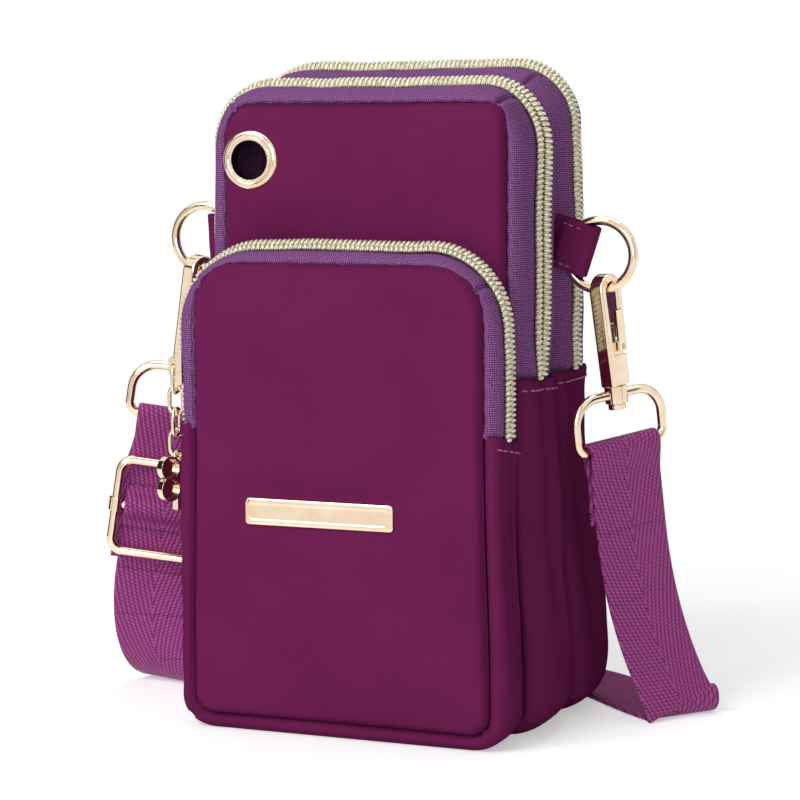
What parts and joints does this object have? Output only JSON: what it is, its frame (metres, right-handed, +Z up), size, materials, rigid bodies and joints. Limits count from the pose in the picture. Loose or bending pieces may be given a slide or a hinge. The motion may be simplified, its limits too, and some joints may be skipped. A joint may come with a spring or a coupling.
{
  "type": "phone pouch",
  "caption": "Upright nylon phone pouch with stacked zipped compartments, a cable eyelet, side rings and a webbing strap on snap hooks with a wire adjuster.",
  "frame": {"origin": "middle of the pouch's base, on the floor", "axes": "+X to the right as the front is seen, +Y to the back, +Z up; the front faces -Y"},
  "size_m": [0.1877, 0.1183, 0.194],
  "materials": {
    "nylon": "matt plum nylon over thin foam",
    "zip_tape": "woven violet zip tape",
    "zip_coil": "pale gold coil",
    "lining": "dark lining cloth",
    "webbing": "herringbone nylon webbing",
    "gold": "polished pale rose gold plate",
    "steel": "bright steel"
  },
  "bodies": {
    "pouch": {"front_panel": "nylon", "middle_panel": "nylon", "divider_panel": "nylon", "back_panel": "nylon", "back_gusset": "nylon", "back_lining": "lining", "back_zip_row_aft": "zip_coil", "back_zip_row_fore": "zip_coil", "back_zip_tape_aft": "zip_tape", "back_zip_tape_fore": "zip_tape", "badge_plate": "gold", "eyelet_barrel": "gold", "eyelet_washer": "gold", "front_gusset": "nylon", "front_lining": "lining", "front_zip_row_aft": "zip_coil", "front_zip_row_fore": "zip_coil", "front_zip_tape_aft": "zip_tape", "front_zip_tape_fore": "zip_tape", "middle_gusset": "nylon", "middle_lining": "lining", "middle_zip_row_aft": "zip_coil", "middle_zip_row_fore": "zip_coil", "middle_zip_tape_aft": "zip_tape", "middle_zip_tape_fore": "zip_tape", "side_tab_left": "nylon", "side_tab_right": "nylon", "strap_hank": "webbing", "strap_left_drop": "webbing", "strap_left_run": "webbing", "strap_right_drop": "webbing", "strap_right_run": "webbing"},
    "front_slider": {"front_slider": "gold"},
    "middle_slider": {"middle_slider": "gold"},
    "back_slider": {"back_slider": "gold"},
    "front_pull": {"front_pull_link": "gold", "chain_link_1": "gold", "chain_link_2": "gold", "chain_link_3": "gold"},
    "charm": {"clover_charm": "gold"},
    "middle_pull": {"middle_pull": "gold"},
    "back_pull": {"back_pull": "gold"},
    "ring_right": {"tab_ring_right": "gold"},
    "hook_right": {"hook_right": "gold", "gate_pin_right": "steel", "gate_spring_right": "steel"},
    "gate_right": {"gate_right": "gold"},
    "bow_right": {"bow_right": "gold", "strap_right_loop": "webbing"},
    "ring_left": {"tab_ring_left": "gold"},
    "hook_left": {"hook_left": "gold", "gate_pin_left": "steel", "gate_spring_left": "steel"},
    "gate_left": {"gate_left": "gold"},
    "bow_left": {"bow_left": "gold", "strap_left_loop": "webbing"},
    "adjuster": {"adjuster_frame": "gold", "adjuster_bar": "gold", "strap_bar_turn": "webbing"}
  },
  "joints": [
    {"name": "front_zip", "type": "slide", "parent": "pouch", "child": "front_slider", "axis": [0, 0, 1], "range_m": [-0.012, 0.0065]},
    {"name": "middle_zip", "type": "slide", "parent": "pouch", "child": "middle_slider", "axis": [0, 0, 1], "range_m": [0, 0.05]},
    {"name": "back_zip", "type": "slide", "parent": "pouch", "child": "back_slider", "axis": [0, 0, 1], "range_m": [0, 0.055]},
    {"name": "front_pull_swing", "type": "hinge", "parent": "front_slider", "child": "front_pull", "pos_m": [-0.054, -0.03075, 0.1055], "axis": [0, 1, 0], "range_deg": [0, 80]},
    {"name": "middle_pull_swing", "type": "hinge", "parent": "middle_slider", "child": "middle_pull", "pos_m": [-0.0556, -0.00575, 0.111], "axis": [0, 1, 0], "range_deg": [0, 85]},
    {"name": "back_pull_swing", "type": "hinge", "parent": "back_slider", "child": "back_pull", "pos_m": [-0.0556, 0.025, 0.111], "axis": [0, 1, 0], "range_deg": [0, 85]},
    {"name": "charm_swing", "type": "hinge", "parent": "front_pull", "child": "charm", "pos_m": [-0.054, -0.03075, 0.0788], "axis": [1, 0, 0], "range_deg": [-25, 25]},
    {"name": "ring_right_turn", "type": "hinge", "parent": "pouch", "child": "ring_right", "pos_m": [0.05529, 0.01, 0.1402], "axis": [0.309, 0, 0.9511], "range_deg": [-12, 12], "deforming": ["strap_right_drop"]},
    {"name": "hook_right_swing", "type": "hinge", "parent": "ring_right", "child": "hook_right", "pos_m": [0.06495, 0.01, 0.12765], "axis": [0.9877, 0, 0.1564], "range_deg": [-12, 12], "deforming": ["strap_right_drop"]},
    {"name": "gate_right_push", "type": "hinge", "parent": "hook_right", "child": "gate_right", "pos_m": [0.06728, 0.01547, 0.11081], "axis": [0.9648, -0.2585, 0.0493], "range_deg": [0, 12], "stiffness_Nm_per_rad": 0.02, "springref_deg": -8.59},
    {"name": "bow_right_swivel", "type": "hinge", "parent": "hook_right", "child": "bow_right", "pos_m": [0.06717, 0.01294, 0.09964], "axis": [-0.0786, -0.1042, 0.9914], "range_deg": [-15, 25], "deforming": ["strap_right_drop"]},
    {"name": "ring_left_turn", "type": "hinge", "parent": "pouch", "child": "ring_left", "pos_m": [-0.05549, 0.01, 0.14128], "axis": [-0.0523, 0, 0.9986], "range_deg": [-12, 12], "deforming": ["strap_left_drop"]},
    {"name": "hook_left_swing", "type": "hinge", "parent": "ring_left", "child": "hook_left", "pos_m": [-0.06624, 0.01, 0.13104], "axis": [0.9744, 0, -0.225], "range_deg": [-12, 12], "deforming": ["strap_left_drop"]},
    {"name": "gate_left_push", "type": "hinge", "parent": "hook_left", "child": "gate_left", "pos_m": [-0.06778, 0.01251, 0.11343], "axis": [0.9589, -0.2569, -0.1204], "range_deg": [0, 12], "stiffness_Nm_per_rad": 0.02, "springref_deg": -8.59},
    {"name": "bow_left_swivel", "type": "hinge", "parent": "hook_left", "child": "bow_left", "pos_m": [-0.07025, 0.00813, 0.10314], "axis": [0.1418, 0.0661, 0.9877], "range_deg": [-25, 25], "deforming": ["strap_left_drop"]},
    {"name": "adjuster_slide", "type": "slide", "parent": "bow_left", "child": "adjuster", "axis": [0.1418, 0.0661, 0.9877], "range_m": [-0.008, 0.004], "deforming": ["strap_left_drop"]}
  ]
}
